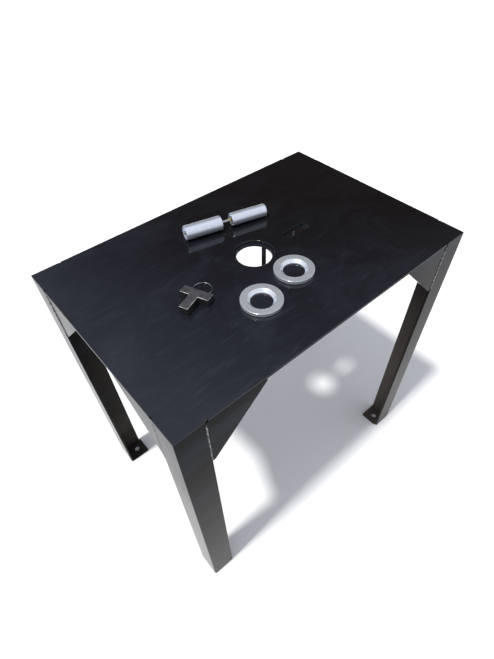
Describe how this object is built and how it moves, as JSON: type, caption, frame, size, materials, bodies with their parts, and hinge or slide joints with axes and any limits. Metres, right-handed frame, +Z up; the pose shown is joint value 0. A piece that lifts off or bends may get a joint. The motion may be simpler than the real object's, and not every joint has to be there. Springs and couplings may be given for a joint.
{
  "type": "forge table",
  "caption": "Black steel plate table with folded legs, a round stepped opening and a slot, with flared insert rings, a rolling cylinder pair and a tee key lying loose on top.",
  "frame": {"origin": "on the floor under the centre of the table top", "axes": "+X along the table's long side towards the slot, +Y along its short side towards the back, +Z up"},
  "size_m": [0.902, 0.597, 0.9388],
  "materials": {
    "table_paint": "glossy black paint",
    "weld_paint": "glossy black paint over weld beads",
    "ring_aluminium": "satin, turned",
    "cylinder_aluminium": "satin, turned",
    "rod_steel": "bright drawn",
    "bush_brass": "dull",
    "key_steel": "ground",
    "wire_steel": "bright wire"
  },
  "bodies": {
    "table": {"top_plate": "table_paint", "backing_plate": "table_paint", "backing_plate_welds": "weld_paint", "hanger_rod": "table_paint", "leg_front_left": "table_paint", "leg_front_right": "table_paint", "leg_rear_left": "table_paint", "leg_rear_right": "table_paint", "end_gusset_front_left": "table_paint", "end_gusset_front_right": "table_paint", "end_gusset_rear_left": "table_paint", "end_gusset_rear_right": "table_paint", "side_gusset_front_left": "table_paint", "side_gusset_front_right": "table_paint", "side_gusset_rear_left": "table_paint", "side_gusset_rear_right": "table_paint", "gusset_welds_front_left": "weld_paint", "gusset_welds_front_right": "weld_paint", "gusset_welds_rear_left": "weld_paint", "gusset_welds_rear_right": "weld_paint", "leg_seam_weld_front_left": "weld_paint", "leg_seam_weld_front_right": "weld_paint", "leg_seam_weld_rear_left": "weld_paint", "leg_seam_weld_rear_right": "weld_paint"},
    "front_ring": {"front_flared_ring": "ring_aluminium"},
    "rear_ring": {"rear_flared_ring": "ring_aluminium"},
    "axle": {"axle_rod": "rod_steel", "axle_washers": "rod_steel", "axle_nuts": "rod_steel", "left_stop_sleeve": "bush_brass", "right_stop_sleeve": "bush_brass"},
    "left_roller": {"left_cylinder": "cylinder_aluminium", "left_cylinder_bushes": "bush_brass"},
    "right_roller": {"right_cylinder": "cylinder_aluminium", "right_cylinder_bushes": "bush_brass"},
    "key": {"tee_key": "key_steel", "pull_eye": "wire_steel", "key_weld_spot": "key_steel"},
    "pull": {"pull_ring": "wire_steel"}
  },
  "joints": [
    {"name": "front_ring_lift", "type": "slide", "parent": "table", "child": "front_ring", "axis": [0, 0, 1], "range_m": [0, 0.08]},
    {"name": "rear_ring_lift", "type": "slide", "parent": "table", "child": "rear_ring", "axis": [0, 0, 1], "range_m": [0, 0.08]},
    {"name": "cylinder_pair_lift", "type": "slide", "parent": "table", "child": "axle", "axis": [0, 0, 1], "range_m": [0, 0.08]},
    {"name": "left_cylinder_spin", "type": "hinge", "parent": "axle", "child": "left_roller", "pos_m": [-0.04741, 0.14761, 0.91957], "axis": [0.9714, -0.2368, -0.0155], "continuous": true},
    {"name": "right_cylinder_spin", "type": "hinge", "parent": "axle", "child": "right_roller", "pos_m": [0.07741, 0.11718, 0.91758], "axis": [0.9714, -0.2368, -0.0155], "continuous": true},
    {"name": "tee_key_lift", "type": "slide", "parent": "table", "child": "key", "axis": [0, 0, 1], "range_m": [0, 0.08]},
    {"name": "pull_ring_swing", "type": "hinge", "parent": "key", "child": "pull", "pos_m": [-0.19405, -0.02678, 0.9045], "axis": [0.3827, -0.9239, 0], "range_deg": [0, 90]}
  ]
}
